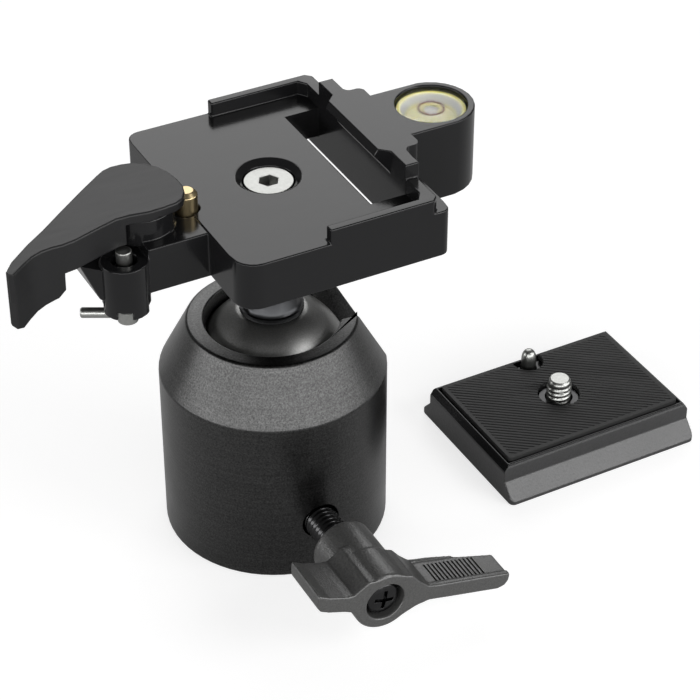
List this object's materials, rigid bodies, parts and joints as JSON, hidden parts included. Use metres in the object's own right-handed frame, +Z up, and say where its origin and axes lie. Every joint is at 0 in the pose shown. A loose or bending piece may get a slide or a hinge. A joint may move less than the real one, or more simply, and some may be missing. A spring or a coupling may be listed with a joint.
{
  "type": "tripod ball head",
  "caption": "Tripod ball head: slotted round housing, ball and stem, quick-release clamp with lever and bubble level, wing clamping lever, and a loose camera plate beside it.",
  "frame": {"origin": "middle of the housing's underside, on its axis, where the tripod's screw goes in", "axes": "+Z up along the housing's axis; +X from the quick-release lever towards the bubble level; the clamping lever points along -Y"},
  "size_m": [0.1673, 0.0862, 0.0985],
  "materials": {
    "sandblasted_anodised": "sand-blasted, anodised dark grey",
    "ball_metal": "satin, anodised dark grey",
    "black_chrome": "polished black chrome",
    "black_paint": "glossy black enamel on zinc casting",
    "lever_metal": "satin dark grey top, black sides",
    "plated_steel": "bright zinc plate",
    "black_steel": "black oxide",
    "brass": "polished",
    "grained_plastic": "fine-grained dark grey",
    "rubber": "ribbed black",
    "acetal": "white",
    "clear_acrylic": "clear",
    "level_fluid": "clear yellow-green liquid",
    "ring_red": "printed brown-red line"
  },
  "bodies": {
    "base": {"housing": "sandblasted_anodised", "base_plug": "sandblasted_anodised", "thread_insert": "plated_steel", "cup_spring": "plated_steel"},
    "wedge": {"thrust_wedge": "brass"},
    "cup": {"pressure_cup": "acetal"},
    "saddle": {"friction_liner": "acetal"},
    "ball": {"ball": "ball_metal"},
    "head": {"stem": "black_chrome", "clamp_casting": "black_paint", "mount_screw": "plated_steel", "lever_pivot_screw": "black_steel", "lever_spring": "plated_steel", "trigger_spring": "plated_steel", "lock_spring": "plated_steel", "level_cup": "acetal", "level_fluid": "level_fluid", "level_ring": "ring_red", "level_lens": "clear_acrylic"},
    "release_lever": {"quick_release_lever": "lever_metal"},
    "trigger": {"trigger_pin": "brass"},
    "lock_slider": {"lock_collar": "black_steel"},
    "lock": {"lock_pin": "plated_steel", "lock_handle": "plated_steel"},
    "stud": {"clamp_stud": "black_steel", "wing_screw": "black_steel", "wing_spring": "plated_steel"},
    "wing": {"wing_lever": "grained_plastic"},
    "plate": {"plate_body": "black_paint", "plate_pad": "rubber", "screw_clip": "plated_steel", "pin_cap": "black_steel", "video_spring": "plated_steel"},
    "screw": {"camera_screw": "plated_steel"},
    "ring": {"screw_ring": "plated_steel"},
    "sprung_pin": {"video_pin": "plated_steel"}
  },
  "joints": [
    {"name": "clamp_turn", "type": "hinge", "parent": "base", "child": "stud", "pos_m": [-0.0012, -0.035, 0.0146], "axis": [0, 1, 0], "range_deg": [-150, 60]},
    {"name": "wing_pull", "type": "slide", "parent": "stud", "child": "wing", "axis": [0, -1, 0], "range_m": [0, 0.003], "stiffness_N_per_m": 500, "springref_m": -0.002, "deforming": ["wing_spring"]},
    {"name": "wedge_push", "type": "slide", "parent": "base", "child": "wedge", "axis": [0, 1, 0], "range_m": [-0.0006, 0.00025]},
    {"name": "cup_lift", "type": "slide", "parent": "base", "child": "cup", "axis": [0, 0, 1], "range_m": [-0.0006, 0.00025], "deforming": ["cup_spring"]},
    {"name": "ball_roll", "type": "hinge", "parent": "base", "child": "saddle", "pos_m": [0, 0, 0.041], "axis": [0.9962, -0.0872, 0], "range_deg": [-20, 2]},
    {"name": "ball_pitch", "type": "hinge", "parent": "saddle", "child": "ball", "pos_m": [0, 0, 0.041], "axis": [0.0872, 0.9962, 0], "range_deg": [-20, 65]},
    {"name": "ball_spin", "type": "hinge", "parent": "ball", "child": "head", "pos_m": [0, 0, 0.041], "axis": [0, 0, 1], "continuous": true},
    {"name": "lever_turn", "type": "hinge", "parent": "head", "child": "release_lever", "pos_m": [-0.0317, -0.0035, 0.095], "axis": [0, 0, 1], "range_deg": [0, 60]},
    {"name": "trigger_press", "type": "slide", "parent": "head", "child": "trigger", "axis": [0, 0, 1], "range_m": [-0.0045, 0], "stiffness_N_per_m": 150, "springref_m": 0.003, "deforming": ["trigger_spring"]},
    {"name": "lock_pull", "type": "slide", "parent": "head", "child": "lock_slider", "axis": [0, 0, 1], "range_m": [-0.0025, 0], "stiffness_N_per_m": 400, "springref_m": 0.002, "deforming": ["lock_spring"]},
    {"name": "lock_turn", "type": "hinge", "parent": "lock_slider", "child": "lock", "pos_m": [-0.0386, -0.0112, 0.08], "axis": [0, 0, 1], "range_deg": [0, 90]},
    {"name": "plate_slide", "type": "slide", "parent": "base", "child": "plate", "axis": [1, 0, 0], "range_m": [0, 0.05]},
    {"name": "camera_screw_turn", "type": "hinge", "parent": "plate", "child": "screw", "pos_m": [0.0746, -0.0055, 0.005], "axis": [0, 0, 1], "continuous": true},
    {"name": "ring_fold", "type": "hinge", "parent": "screw", "child": "ring", "pos_m": [0.0746, -0.0055, 0.0024], "axis": [-0.9999, -0.014, 0], "range_deg": [0, 90]},
    {"name": "video_pin_press", "type": "slide", "parent": "plate", "child": "sprung_pin", "axis": [0, 0, 1], "range_m": [-0.0016, 0], "stiffness_N_per_m": 400, "springref_m": 0.001, "deforming": ["video_spring"]}
  ],
  "couplings": [
    {"joint": "wedge_push", "follows": "clamp_turn", "m_per_rad": 0.00019894},
    {"joint": "cup_lift", "follows": "clamp_turn", "m_per_rad": 0.00019894}
  ]
}
